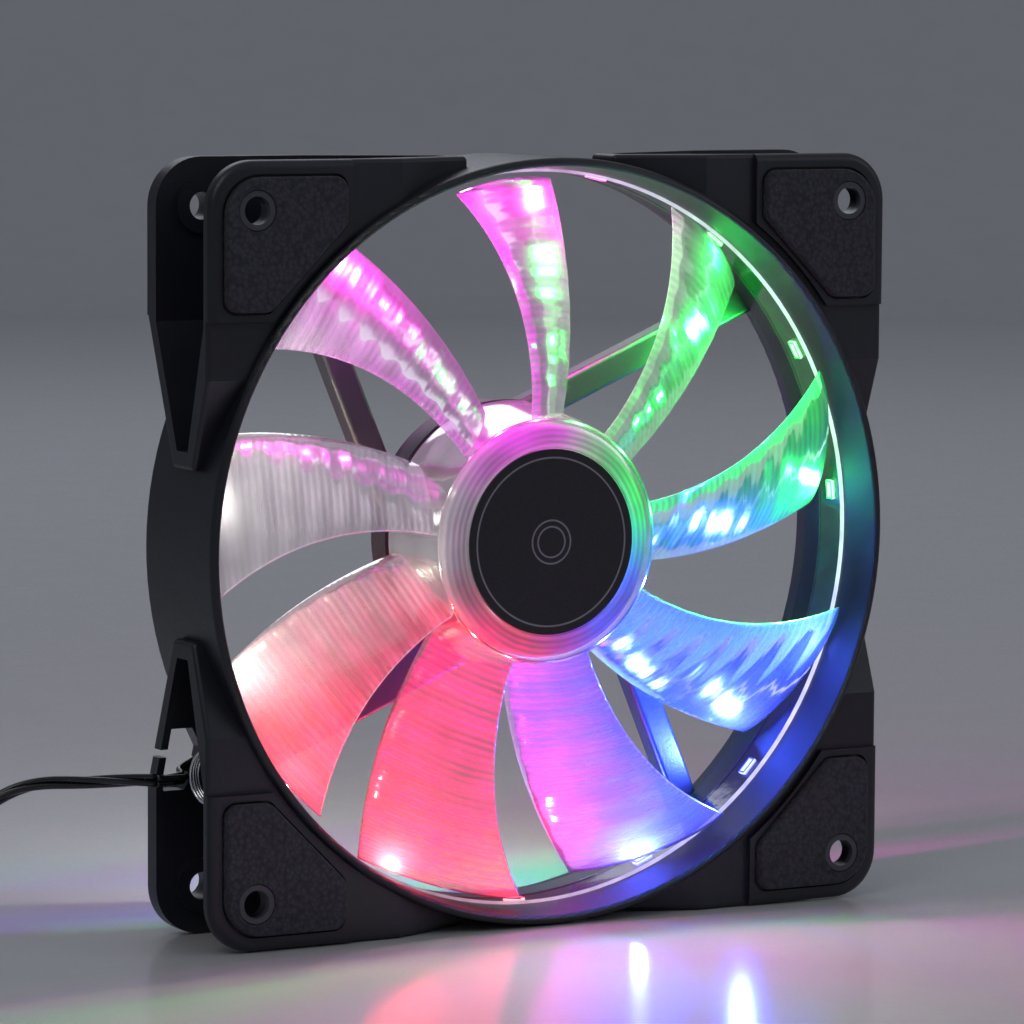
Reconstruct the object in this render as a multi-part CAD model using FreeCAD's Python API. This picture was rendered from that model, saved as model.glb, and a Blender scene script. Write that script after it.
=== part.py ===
"""Case fan, 120 mm, with a lit clear impeller.  Units are millimetres.

+X is to the right seen from the intake side, +Y is from intake to exhaust and
+Z is up.  The fan stands on its bottom edge at Z = 0 and the rotor turns on a
line along Y at the frame's centre.
"""
import FreeCAD, Part
import math
import os

os.makedirs("parts", exist_ok=True)

Vec = FreeCAD.Vector

# ---------------------------------------------------------------- frame
frame_size = 120.0
frame_depth = 25.0
hole_pitch = 105.0
screw_hole_r = 2.15
collar_r = 3.0
collar_root = 0.6            # how far a collar or boss runs into its flange
ear_corner_r = 7.5
arm_root = 56.0              # inside the barrel's wall, where each arm is joined to it
arm_end = 13.0               # offset from mid-side where an ear's arm ends
arm_end_r = 0.8
arm_tip_front_y = -5.4       # an arm's depth at its end
arm_tip_rear_y = 1.5
arm_front_start = 27.0       # offset where the front and rear faces begin to slope
arm_rear_start = 35.5
axis_z = frame_size / 2
front_y = -frame_depth / 2
rear_y = frame_depth / 2

collar_drop = 0.2            # collar, lip, platform and shelf below the pads
lip_drop = 0.4
platform_drop = 1.1
shelf_drop = 2.0
platform_edge_r = 1.2
shelf_edge_r = 0.7
front_flange_back = front_y + 3.3
rear_flange_front = rear_y - 5.1
pocket_straight = 35.0       # offset where the pocket begins to narrow
pocket_tip_offset = 15.8
pocket_tip_y = -1.85
pocket_tip_half = 1.85

barrel_r = 59.9
barrel_waist_r = 59.2        # barrel's outside between the flanges
mouth_r = 58.5
wall_r = 57.9
wall_blend = 0.6             # where the mouth's taper meets the straight wall
lip_edge_r = 0.7
barrel_edge_r = 1.2
platform_inner_r = 60.8
platform_start = 35.8
rear_boss_height = 0.8       # small boss round each screw hole inside the rear flange
rear_boss_r = 4.2

keyhole_left = -58.8         # opening in the rear flange for the leads
keyhole_right = -53.1
keyhole_top_right = -55.3    # where its slanted corners begin
keyhole_top_z = -27.4
keyhole_bottom_z = -37.4
keyhole_slant = 3.4
keyhole_front_y = 2.5        # clear of the sloped wall in front of its top edge
slit_z = -31.4
slit_half = 0.65

# ---------------------------------------------------------------- pads
pad_inner = 37.2
pad_outer = 57.5
pad_cut = 12.9               # size of the corner cut along the opening
pad_gap = 0.4
pad_outer_corner_r = 6.0
pad_corner_r = 2.2
pad_edge_r = 0.4
recess_drop = 2.1
pad_hole_r = collar_r + 0.15

# ---------------------------------------------------------------- lighting
ring_half_width = 3.6
groove_r = 58.2
strip_outer_r = 58.17
strip_inner_r = 58.05
ring_outer_r = 58.03
ring_inner_r = 57.7
ring_bead_r = 57.45
ring_bead_width = 0.5
led_face_r = 57.4
led_length = 3.0
led_width = 1.6
led_cup_depth = 0.12
resistor_length = 1.6
resistor_width = 0.8
resistor_height = 0.4
window_gap = 0.15
led_step = 24.0
led_phase = 5.0
strip_margin = 0.1
led_colours = ["green", "pink", "white", "red", "blue"]
leds_per_colour = 3

# ---------------------------------------------------------------- struts
strut_angle = 113.0          # direction of the first strut, from +X towards +Z
strut_offset = 15.0          # its distance from the fan axis
strut_width = 4.7
wide_strut_offset = 13.0
wide_strut_width = 8.4
strut_front_y = 8.2
strut_rear_y = 11.4
strut_edge_r = 0.8
strut_root = 0.5             # how far a strut runs into what it joins
lead_line_offset = 10.5
lead_y = 10.1
lead_r = 1.1
keyhole_lead_distance = 65.2 # along the wide strut to the keyhole
channel_half = 1.3
channel_front_y = 8.9
channel_start = 13.5
channel_length = 50.3

# ---------------------------------------------------------------- motor base
base_r = 21.2
base_skirt_in_r = 20.1
base_skirt_front_y = 5.9
base_floor_y = 9.6
ledge_in_r = 18.4
board_y = 7.4
board_thickness = 1.0
board_r = 19.6
label_r = 16.5
label_recess = 0.3
label_thickness = 0.2
bearing_tube_r = 4.0
bearing_tube_in_r = 3.0
base_collar_r = 5.2
base_collar_y = 7.0

# ---------------------------------------------------------------- stator
core_front_y = -4.2
core_rear_y = 0.8
core_r = 15.1
core_hub_r = 7.2
tooth_half = 2.5
tooth_tip_in_r = 12.9
slot_half = 1.3
insulator_thickness = 0.8
insulator_r = 14.4
coil_in_x = 7.5
coil_out_x = 11.9
coil_half = 4.6
coil_overhang = 1.5          # coil beyond each insulator
coil_edge_r = 1.2

# ---------------------------------------------------------------- rotor
tip_r = 56.5
blade_count = 9
hub_front_y = -9.7
hub_recess_y = -9.25
hub_wall_y = -8.05
hub_edge_r = 19.4
hub_edge_y = -7.8
hub_rear_r = 21.2
hub_rear_y = 5.0
hub_bore_r = 18.12
hub_bore_end_y = 2.2
hub_label_r = 14.55
hub_label_gap = 0.2
hub_flat_r = 16.0
hub_round_r = 18.45
hub_round_y = -9.15
hub_skirt = 1.1              # hub wall at its rear edge
hub_label_front_y = -9.5
cup_r = 18.1
cup_wall = 0.75
cup_front_y = -8.0
cup_rear_y = 2.0
magnet_in_r = 15.6
magnet_front_y = -6.0
magnet_rear_y = 1.8
bush_r = 3.5
bush_rear_y = -5.4
shaft_r = 1.5
shaft_rear_y = 8.4
shaft_groove_y = (7.2, 7.7)
clip_r = 2.7
clip_y = (7.25, 7.65)
shaft_groove_r = 1.2
bearing_clearance = 0.02
fit = 0.02                   # gap between pieces that seat on each other

blade_root_r = 18.7          # inside the hub's wall
blade_sections = 5
blade_over_tip = 2.0         # extra length before trimming to the tip circle
root_height = 10.4           # blade's height along the axis
tip_height = 12.4
root_stagger = 46.0          # chord's angle to the plane of rotation
tip_stagger = 27.0
root_mid_y = -1.4
tip_mid_y = -0.9
blade_sweep = 15.0
blade_sweep_power = 1.4
root_thickness = 1.9
tip_thickness = 1.1
blade_edge_half = 0.18
camber = 0.07
chord_points = 9

# ---------------------------------------------------------------- fine lead in the pocket
loop_centre = (-55.2, -2.6, axis_z - 34.2)
loop_r = 4.3
loop_wire_r = 0.24
loop_turns = 4
loop_pitch = 0.52
loop_tilt = math.radians(17)
feed_inner = (-49.15, -3.2, axis_z - 31.55)
feed_outer = (-53.55, -6.35, axis_z - 34.1)
feed_hole_r = 0.55

# ---------------------------------------------------------------- cable
cable_r = 1.13
cable_exit = (-61.2, 5.0, 24.7)
cable_route = [cable_exit, (-70.0, 7.3, 25.0), (-82.0, 10.5, 24.8), (-90.2, 12.2, 19.2),
               (-95.5, 13.1, 7.1), (-103.8, 13.5, 1.6), (-112.0, 13.5, 1.6)]
tail_route = [(-112.0, 13.5, 3.8), (-119.0, 13.3, 3.6), (-126.0, 12.5, 2.6)]
coil_centre = (-112.0, 0.0)
coil_mean_r = 12.4
coil_turns = 4                # two side by side, two deep
coil_pitch = 2.2
coil_edge = 0.9
tie_thickness = 0.4
tie_width = 3.0
tie_angle = -60.0
plug_x, plug_y = tail_route[-1][:2]
plug_length = 14.0
plug_width = 8.0
plug_height = 5.0
plug_edge_r = 0.4
plug_pitch = 2.54
cavity_half = 0.9
cavity_depth = 11.5
latch_x = 8.5                # latch windows, from the cable end of the housing
latch_length = 3.0
latch_half = 0.6
contact_half = 0.75
contact_length = 9.0
contact_setback = 1.5
contact_bore_half = 0.4
contact_bore_depth = 6.5


# ================================================================ helpers
def save(node, shape):
    """Write one node and print what it holds."""
    shape.exportStep("parts/" + node + ".step")
    print(node, "solids", len(shape.Solids), "volume", round(shape.Volume, 1), "valid", shape.isValid())


def rod(radius, y0, y1, x=0.0, z=axis_z):
    """Cylinder along Y."""
    return Part.makeCylinder(radius, y1 - y0, Vec(x, y0, z), Vec(0, 1, 0))


def ring(outer_r, inner_r, y0, y1):
    """Tube round the fan axis."""
    return rod(outer_r, y0, y1).cut(rod(inner_r, y0 - 1, y1 + 1))


def turned(edges):
    """Solid of revolution round the fan axis from edges at X = radius."""
    face = Part.Face(Part.Wire(edges))
    return face.revolve(Vec(0, 0, axis_z), Vec(0, 1, 0), 360)


def chain(points):
    """Straight edges through (radius, y) pairs."""
    return Part.makePolygon([Vec(r, y, axis_z) for r, y in points]).Edges


def bend(start, middle, end):
    """Arc through three (radius, y) pairs."""
    return Part.Arc(*[Vec(r, y, axis_z) for r, y in (start, middle, end)]).toShape()


def profile(points):
    """Closed outline of straight edges from (radius, y) pairs."""
    return chain(points + [points[0]])


def outline(points, radii, y):
    """Closed outline at depth y from (x, z) pairs about the axis, corners rounded."""
    count = len(points)
    corners = [Vec(x, y, z + axis_z) for x, z in points]
    starts = []
    middles = []
    ends = []
    for i in range(count):
        to_before = (corners[i - 1] - corners[i]).normalize()
        to_after = (corners[(i + 1) % count] - corners[i]).normalize()
        half_angle = to_before.getAngle(to_after) / 2
        run = radii[i] / math.tan(half_angle)
        reach = radii[i] / math.sin(half_angle) - radii[i]
        starts.append(corners[i] + to_before * run)
        middles.append(corners[i] + (to_before + to_after).normalize() * reach)
        ends.append(corners[i] + to_after * run)
    edges = []
    for i in range(count):
        if radii[i] > 0:
            edges.append(Part.Arc(starts[i], middles[i], ends[i]).toShape())
        edges.append(Part.LineSegment(ends[i], starts[(i + 1) % count]).toShape())
    return Part.Wire(edges)


def plate(points, radii, y0, y1):
    """Plate between two depths with a rounded outline."""
    return Part.Face(outline(points, radii, y0)).extrude(Vec(0, y1 - y0, 0))


def end_edges(shape, y):
    """Edges that lie in the plane at depth y."""
    found = []
    for edge in shape.Edges:
        box = edge.BoundBox
        if abs(box.YMin - y) < 1e-4 and abs(box.YMax - y) < 1e-4:
            found.append(edge)
    return found


def about_axis(shape, degrees):
    """Copy of a shape turned about the fan axis, from +X towards +Z."""
    copy = shape.copy()
    copy.rotate(Vec(0, 0, axis_z), Vec(0, 1, 0), -degrees)
    return copy


def joined(shapes):
    """Union of a list of shapes with its seams cleaned."""
    return shapes[0].multiFuse(shapes[1:]).removeSplitter()


def routed_tube(points, radius, name):
    """Round tube along straight runs joined by tangent arcs."""
    corners = [Vec(*p) for p in points]
    edges = []
    here = corners[0]
    for i in range(1, len(corners) - 1):
        back = (corners[i - 1] - corners[i])
        ahead = (corners[i + 1] - corners[i])
        turn = math.pi - back.getAngle(ahead)
        run = 0.45 * min(back.Length, ahead.Length)
        bend_r = run / math.tan(turn / 2)
        print(name, "bend", i, "radius", round(bend_r, 1), "turn", round(math.degrees(turn)))
        back.normalize()
        ahead.normalize()
        start = corners[i] + back * run
        end = corners[i] + ahead * run
        reach = bend_r / math.cos(turn / 2) - bend_r
        middle = corners[i] + (back + ahead).normalize() * reach
        edges.append(Part.LineSegment(here, start).toShape())
        edges.append(Part.Arc(start, middle, end).toShape())
        here = end
    edges.append(Part.LineSegment(here, corners[-1]).toShape())
    path = Part.Wire(edges)
    section = Part.Wire(Part.makeCircle(radius, corners[0], corners[1] - corners[0]))
    tube = path.makePipeShell([section], True, False)
    solid = Part.Solid(tube) if tube.ShapeType != "Solid" else tube
    print(name, "length", round(path.Length, 1), "volume", round(solid.Volume, 1),
          "expected", round(path.Length * math.pi * radius ** 2, 1))
    return solid


# ================================================================ frame
half = frame_size / 2
ear_points = []
ear_radii = []
for sx, sz in ((1, 1), (-1, 1), (-1, -1), (1, -1)):
    quarter = [(arm_root, arm_end, 0.0), (half, arm_end, arm_end_r), (half, half, ear_corner_r),
               (arm_end, half, arm_end_r), (arm_end, arm_root, 0.0)]
    if sx * sz < 0:
        quarter.reverse()
    for x, z, r in quarter:
        ear_points.append((sx * x, sz * z))
        ear_radii.append(r)

platform_y = frame_depth / 2 - platform_drop
shelf_y = frame_depth / 2 - shelf_drop
lip_y = frame_depth / 2 - lip_drop
recess_y = frame_depth / 2 - recess_drop
collar_y = frame_depth / 2 - collar_drop


def arm_wedges(tip_y, face_y, start):
    """Prisms that slope one face of the arms, from full depth at an offset to tip_y at their ends."""
    beyond = math.copysign(abs(face_y) + 2, face_y)
    middle_y = tip_y + (tip_y - face_y) * arm_end / (start - arm_end)
    outline_points = [(-start, beyond), (-start, face_y), (0, middle_y), (start, face_y), (start, beyond),
                      (-start, beyond)]
    far = half + 1
    side = Part.makePolygon([Vec(-far, y, axis_z + a) for a, y in outline_points])
    top = Part.makePolygon([Vec(a, y, axis_z - far) for a, y in outline_points])
    return [Part.Face(side).extrude(Vec(2 * far, 0, 0)), Part.Face(top).extrude(Vec(0, 0, 2 * far))]


def outer_edges(shape):
    """Edges of the sloping faces that lie on the frame's four outer sides."""
    found = []
    for edge in shape.Edges:
        box = edge.BoundBox
        on_side = min(abs(box.XMin), abs(box.XMax)) > half - fit
        on_top = min(abs(box.ZMin - axis_z), abs(box.ZMax - axis_z)) > half - fit
        slanted = box.YLength > fit and max(box.XLength, box.ZLength) > fit
        if (on_side or on_top) and slanted:
            found.append(edge)
    return found


def tapered_ears():
    """The ears with arms that get shallower along each side of the frame."""
    slab = plate(ear_points, ear_radii, -shelf_y, shelf_y)
    wedges = arm_wedges(arm_tip_front_y, -shelf_y, arm_front_start)
    wedges += arm_wedges(arm_tip_rear_y, shelf_y, arm_rear_start)
    for wedge in wedges:
        slab = slab.cut(wedge)
    slab = slab.removeSplitter()
    flat = []
    for edge in end_edges(slab, -shelf_y) + end_edges(slab, shelf_y):
        middle = edge.BoundBox.Center
        if max(abs(middle.x), abs(middle.z - axis_z)) > half - ear_corner_r:
            flat.append(edge)
    return slab.makeFillet(shelf_edge_r, outer_edges(slab) + flat)


def pad_plan(sx, sz, grow):
    """Outline points of one pad: a square with its inner corner cut off."""
    inner = pad_inner - grow
    outer = pad_outer + grow
    cut = pad_cut + 0.6 * grow
    points = [(inner + cut, inner), (outer, inner), (outer, outer), (inner, outer), (inner, inner + cut)]
    radii = [pad_corner_r, pad_corner_r, pad_outer_corner_r, pad_corner_r, pad_corner_r]
    if sx * sz < 0:
        points.reverse()
        radii.reverse()
    return [(sx * x, sz * z) for x, z in points], radii


def corner_platforms():
    """Raised corners that frame the pads, on both faces."""
    square = [(half, half), (-half, half), (-half, -half), (half, -half)]
    slab = plate(square, [ear_corner_r] * 4, -platform_y, platform_y)
    slab = slab.makeFillet(platform_edge_r, end_edges(slab, -platform_y) + end_edges(slab, platform_y))
    blocks = []
    for sx in (1, -1):
        for sz in (1, -1):
            x0 = platform_start if sx > 0 else -half - 1
            z0 = axis_z + (platform_start if sz > 0 else -half - 1)
            side = half + 1 - platform_start
            blocks.append(Part.makeBox(side, frame_depth, side, Vec(x0, front_y, z0)))
    raised = slab.common(blocks[0].multiFuse(blocks[1:]))
    return raised.cut(rod(platform_inner_r, front_y - 1, rear_y + 1))


def pocket(sx, sz):
    """Space between the flanges at one corner, narrowing to a blunt tip at each mid-side."""
    far = half + 2
    shape = [(far, front_flange_back), (pocket_straight, front_flange_back),
             (pocket_tip_offset, pocket_tip_y - pocket_tip_half),
             (pocket_tip_offset, pocket_tip_y + pocket_tip_half),
             (pocket_straight, rear_flange_front), (far, rear_flange_front)]
    side_points = [Vec(0, y, axis_z + sz * a) for a, y in shape]
    side_points.append(side_points[0])
    top_points = [Vec(sx * a, y, axis_z) for a, y in shape]
    top_points.append(top_points[0])
    side = Part.Face(Part.makePolygon(side_points)).extrude(Vec(sx * far, 0, 0))
    top = Part.Face(Part.makePolygon(top_points)).extrude(Vec(0, 0, sz * far))
    return side.common(top).cut(rod(barrel_waist_r, front_y, rear_y))


def strut(angle, offset, width):
    """Straight strut beside the axis, from the motor base to the barrel."""
    bar = Part.makeBox(half, strut_rear_y - strut_front_y, width,
                       Vec(0, strut_front_y, axis_z + offset - width / 2))
    bar = bar.makeFillet(strut_edge_r, end_edges(bar, strut_front_y))
    bar = bar.common(ring(wall_r + strut_root, base_r - strut_root, front_y, rear_y))
    right_side = Part.makeBox(frame_size, frame_depth, frame_size, Vec(0, front_y, axis_z))
    return about_axis(bar.common(right_side), angle)


def lead_point(distance, y=lead_y):
    """Point on the line that the motor leads follow along the wide strut."""
    angle = math.radians(strut_angle + 90)
    x = distance * math.cos(angle) - lead_line_offset * math.sin(angle)
    z = distance * math.sin(angle) + lead_line_offset * math.cos(angle)
    return (x, y, axis_z + z)


def barrel():
    """Outside of the round duct."""
    body = rod(barrel_r, -lip_y, lip_y)
    return body.makeFillet(barrel_edge_r, end_edges(body, -lip_y) + end_edges(body, lip_y))


def bore_cutter():
    """Space inside the duct, with a rounded and slightly flared mouth at each end."""
    waist_y = ring_half_width + wall_blend
    lip_bend = (mouth_r + 0.25 * lip_edge_r, 0.33 * lip_edge_r)
    open_r = mouth_r + 2 * lip_edge_r
    front = [(0, -lip_y - 1), (open_r, -lip_y - 1), (mouth_r + lip_edge_r, -lip_y)]
    front_bend = (lip_bend[0], lip_bend[1] - lip_y)
    middle = [(mouth_r, lip_edge_r - lip_y), (wall_r, -waist_y), (wall_r, strut_front_y),
              (mouth_r, lip_y - lip_edge_r)]
    rear_bend = (lip_bend[0], lip_y - lip_bend[1])
    rear = [(mouth_r + lip_edge_r, lip_y), (open_r, lip_y + 1), (0, lip_y + 1), (0, -lip_y - 1)]
    edges = chain(front) + [bend(front[-1], front_bend, middle[0])] + chain(middle)
    edges += [bend(middle[-1], rear_bend, rear[0])] + chain(rear)
    return turned(edges)


def motor_base():
    """Shallow dish that carries the board and the bearing tube."""
    dish = turned(profile([
        (0, base_floor_y), (bearing_tube_r + fit, base_floor_y), (bearing_tube_r + fit, base_collar_y),
        (base_collar_r, base_collar_y), (base_collar_r, base_floor_y), (ledge_in_r, base_floor_y),
        (ledge_in_r, board_y + board_thickness), (base_skirt_in_r, board_y + board_thickness),
        (base_skirt_in_r, base_skirt_front_y), (base_r, base_skirt_front_y),
        (base_r, strut_rear_y - strut_edge_r), (base_r - strut_edge_r, strut_rear_y),
        (label_r + label_thickness, strut_rear_y), (label_r + label_thickness, strut_rear_y - label_recess),
        (0, strut_rear_y - label_recess)]))
    return dish


def keyhole_cutter():
    """Six-sided opening in the rear flange that the leads pass through, with its side slit."""
    points = [(keyhole_left, keyhole_top_z), (keyhole_left, keyhole_bottom_z),
              (keyhole_top_right, keyhole_bottom_z), (keyhole_right, keyhole_bottom_z + keyhole_slant),
              (keyhole_right, keyhole_top_z - keyhole_slant), (keyhole_top_right, keyhole_top_z)]
    hole = plate(points, [0.0] * len(points), keyhole_front_y, rear_y + 1)
    slit = Part.makeBox(half + 2 + keyhole_left, rear_y + 1 - keyhole_front_y, 2 * slit_half,
                        Vec(-half - 1, keyhole_front_y, axis_z + slit_z - slit_half))
    return hole.fuse(slit)


def channel_cutter():
    """Groove in the rear faces of the wide strut and the flange for the leads."""
    box = Part.makeBox(channel_length, rear_y - channel_front_y + 1, 2 * channel_half,
                       Vec(channel_start, channel_front_y, axis_z + lead_line_offset - channel_half))
    return about_axis(box, strut_angle + 90)


def frame_solid():
    """The whole frame moulding."""
    body = joined([tapered_ears(), corner_platforms(), barrel()])
    for sx in (1, -1):
        for sz in (1, -1):
            body = body.cut(pocket(sx, sz))
            x = sx * hole_pitch / 2
            z = axis_z + sz * hole_pitch / 2
            for side in (-1, 1):
                points, radii = pad_plan(sx, sz, pad_gap)
                y0, y1 = sorted((side * recess_y, side * (rear_y + 1)))
                body = body.cut(plate(points, radii, y0, y1))
            collar = rod(collar_r, -collar_y, -shelf_y + collar_root, x, z)
            rear_collar = rod(collar_r, shelf_y - collar_root, collar_y, x, z)
            boss_y = rear_flange_front - rear_boss_height
            boss = rod(rear_boss_r, boss_y, rear_flange_front + collar_root, x, z)
            body = body.multiFuse([collar, rear_collar, boss])
            body = body.cut(rod(screw_hole_r, front_y - 1, rear_y + 1, x, z))
    body = body.cut(bore_cutter())
    body = body.cut(ring(groove_r, wall_r - 1, -ring_half_width, ring_half_width))
    struts = [strut(strut_angle + 90 * i, strut_offset, strut_width) for i in (0, 2, 3)]
    struts.append(strut(strut_angle + 90, wide_strut_offset, wide_strut_width))
    body = body.multiFuse(struts + [motor_base()])
    body = body.cut(keyhole_cutter()).cut(channel_cutter())
    feed_line = Vec(*feed_inner) - Vec(*feed_outer)
    body = body.cut(Part.makeCylinder(feed_hole_r, 2 * feed_line.Length, Vec(*feed_outer), feed_line))
    return body.removeSplitter()


# ================================================================ lighting
def led_box(length, width, r0, r1):
    """Small block on the strip at the +X side of the axis."""
    return Part.makeBox(r1 - r0, width, length, Vec(r0, -width / 2, axis_z - length / 2))


led_angles = [led_phase + led_step * i for i in range(len(led_colours) * leds_per_colour)]
resistor_angles = [angle + led_step / 2 for angle in led_angles[::leds_per_colour]]


def light_ring():
    """Clear liner with a bead along its front edge and a window for each small part behind it."""
    liner = ring(ring_outer_r, ring_inner_r, -ring_half_width, ring_half_width)
    bead = ring(ring_outer_r, ring_bead_r, -ring_half_width, -ring_half_width + ring_bead_width)
    liner = liner.fuse(bead)
    windows = []
    for angles, length, width in ((led_angles, led_length, led_width),
                                  (resistor_angles, resistor_length, resistor_width)):
        window = led_box(length + 2 * window_gap, width + 2 * window_gap, tip_r, barrel_r)
        windows += [about_axis(window, angle) for angle in angles]
    return liner.cut(Part.makeCompound(windows))


def led_solid():
    """One lamp: a package with a shallow cup in its face."""
    block = led_box(led_length, led_width, led_face_r, ring_outer_r - fit)
    wall = 2 * led_cup_depth
    cup = led_box(led_length - 2 * wall, led_width - 2 * wall, led_face_r - 1, led_face_r + led_cup_depth)
    return block.cut(cup)


# ================================================================ motor
def stator_plan(outer_r, y0, y1):
    """Four-tooth stator outline between two depths."""
    tips = ring(outer_r, tooth_tip_in_r, y0, y1)
    slot = Part.makeBox(2 * outer_r, y1 - y0 + 2, 2 * slot_half, Vec(0, y0 - 1, axis_z - slot_half))
    tips = tips.cut(Part.makeCompound([about_axis(slot, 45 + 90 * i) for i in range(4)]))
    tooth_start = core_hub_r - 0.5
    tooth = Part.makeBox(tooth_tip_in_r + 0.5 - tooth_start, y1 - y0, 2 * tooth_half,
                         Vec(tooth_start, y0, axis_z - tooth_half))
    teeth = [about_axis(tooth, 90 * i) for i in range(4)]
    return joined([ring(core_hub_r, bearing_tube_r + fit, y0, y1), tips] + teeth)


def winding(angle):
    """One coil round a tooth."""
    front = core_front_y - insulator_thickness
    rear = core_rear_y + insulator_thickness
    length = coil_out_x - coil_in_x
    outside = Part.makeBox(length, rear - front + 2 * coil_overhang, 2 * coil_half,
                           Vec(coil_in_x, front - coil_overhang, axis_z - coil_half))
    long_edges = [edge for edge in outside.Edges if abs(edge.BoundBox.XLength - length) < fit]
    outside = outside.makeFillet(coil_edge_r, long_edges)
    gap = 3 * fit
    window = Part.makeBox(2 * length, rear - front + 2 * gap, 2 * (tooth_half + gap),
                          Vec(coil_in_x - 1, front - gap, axis_z - tooth_half - gap))
    return about_axis(outside.cut(window), angle)


def hall_sensor():
    """Sensor body behind the magnet's end, on three legs that reach the board."""
    body = Part.makeBox(1.5, 3.0, 4.0, Vec(15.8, 2.8, axis_z - 2.0))
    leg_y = 5.7
    legs = []
    for i in (-1, 0, 1):
        legs.append(Part.makeBox(0.4, board_y - fit - leg_y, 0.4, Vec(16.3, leg_y, axis_z + 1.27 * i - 0.2)))
    return about_axis(joined([body] + legs), 45)


def board_block(size_x, size_y, size_z, x, angle):
    """Part lying on the front of the motor board."""
    block = Part.makeBox(size_x, size_y, size_z, Vec(x, board_y - fit - size_y, axis_z - size_z / 2))
    return about_axis(block, angle)


# ================================================================ impeller
def blade_section(share, radius):
    """Closed section wire of the blade at one radius; share is 0 at the root and 1 at the tip circle."""
    stagger = math.radians(root_stagger + (tip_stagger - root_stagger) * share)
    chord = (root_height + (tip_height - root_height) * share) / math.sin(stagger)
    thickness = root_thickness + (tip_thickness - root_thickness) * share
    mid_y = root_mid_y + (tip_mid_y - root_mid_y) * share
    sweep = math.radians(blade_sweep * share ** blade_sweep_power)
    sides = []
    for side in (1, -1):
        points = []
        for i in range(chord_points):
            s = i / (chord_points - 1) - 0.5
            half_thick = thickness / 2 * math.sqrt(1 - (2 * s) ** 4) + blade_edge_half
            off = side * half_thick - camber * chord * (1 - (2 * s) ** 2)
            around = s * chord * math.cos(stagger) + off * math.sin(stagger)
            y = mid_y - s * chord * math.sin(stagger) + off * math.cos(stagger)
            x = radius * math.cos(sweep) - around * math.sin(sweep)
            z = radius * math.sin(sweep) + around * math.cos(sweep)
            points.append(Vec(x, y, axis_z + z))
        sides.append(points)
    curves = []
    for points in sides:
        curve = Part.BSplineCurve()
        curve.interpolate(points)
        curves.append(curve.toShape())
    leading = Part.LineSegment(sides[0][-1], sides[1][-1]).toShape()
    trailing = Part.LineSegment(sides[1][0], sides[0][0]).toShape()
    return Part.Wire(Part.__sortEdges__([curves[0], leading, curves[1], trailing]))


def blade():
    """One blade, from inside the hub wall to the tip circle."""
    sections = []
    for i in range(blade_sections):
        radius = blade_root_r + (tip_r + blade_over_tip - blade_root_r) * i / (blade_sections - 1)
        sections.append(blade_section((radius - blade_root_r) / (tip_r - blade_root_r), radius))
    return Part.makeLoft(sections, True, False).common(rod(tip_r, front_y, rear_y))


def hub_outside():
    """Hub's outer shape, with a shallow recess for the label."""
    recess_r = hub_label_r + hub_label_gap
    flat = [(0, hub_recess_y), (recess_r, hub_recess_y), (recess_r, hub_front_y), (hub_flat_r, hub_front_y)]
    side = [(hub_edge_r, hub_edge_y), (hub_rear_r, hub_rear_y), (0, hub_rear_y), (0, hub_recess_y)]
    return turned(chain(flat) + [bend(flat[-1], (hub_round_r, hub_round_y), side[0])] + chain(side))


def hub_cavity():
    """Space inside the hub: a seat for the steel cup, then a thinner skirt."""
    skirt_r = hub_rear_r - hub_skirt
    return turned(profile([(0, hub_wall_y), (hub_bore_r, hub_wall_y), (hub_bore_r, hub_bore_end_y),
                           (skirt_r - 0.3, hub_bore_end_y + 0.4), (skirt_r, hub_rear_y + 1),
                           (0, hub_rear_y + 1)]))


def impeller():
    """Hub and blades in one moulding."""
    one = blade()
    blades = [about_axis(one, 360 / blade_count * i) for i in range(blade_count)]
    return hub_outside().multiFuse(blades).cut(hub_cavity())


# ================================================================ leads and cable
def lead_loop():
    """Spare turns of fine lead in the pocket, with the end that feeds the strip."""
    axis = Vec(math.cos(loop_tilt), math.sin(loop_tilt), 0)
    turns = []
    for i in range(loop_turns):
        centre = Vec(*loop_centre) + axis * ((i - (loop_turns - 1) / 2) * loop_pitch)
        turns.append(Part.makeTorus(loop_r, loop_wire_r, centre, axis))
    feed_line = Vec(*feed_inner) - Vec(*feed_outer)
    feed = Part.makeCylinder(loop_wire_r, feed_line.Length, Vec(*feed_outer), feed_line)
    return Part.makeCompound(turns + [feed])


def lead_route():
    """Centre line of the motor leads, from the board through the keyhole to the frame's side."""
    turning = lead_point(keyhole_lead_distance)
    behind = (turning[0], cable_exit[1], cable_exit[2] + 0.2)
    return [lead_point(channel_start + 0.1), turning, behind, cable_exit]


def coil_band(gap):
    """Inner radius, outer radius and height of the coil, with a gap round its section."""
    reach = coil_pitch / 2 + cable_r + gap
    return coil_mean_r - reach, coil_mean_r + reach, 2 * reach


def coil_solid():
    """Outer shape of the put-away coil: two turns side by side, two deep."""
    inner, outer, height = coil_band(0)
    base = Vec(coil_centre[0], coil_centre[1], tie_thickness + fit)
    band = Part.makeCylinder(outer, height, base).cut(Part.makeCylinder(inner, height, base))
    return band.makeFillet(coil_edge, [e for e in band.Edges if len(e.Vertexes) == 1])


def coil_tie():
    """Strap wrapped once round the coil."""
    inner, outer, height = coil_band(fit)
    outside = Part.makeBox(outer - inner + 2 * tie_thickness, tie_width, height + 2 * tie_thickness,
                           Vec(inner - tie_thickness, -tie_width / 2, 0))
    inside = Part.makeBox(outer - inner, tie_width + 2, height, Vec(inner, -tie_width / 2 - 1, tie_thickness))
    strap = outside.cut(inside)
    strap.rotate(Vec(0, 0, 0), Vec(0, 0, 1), tie_angle)
    strap.translate(Vec(coil_centre[0], coil_centre[1], 0))
    return strap


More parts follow.
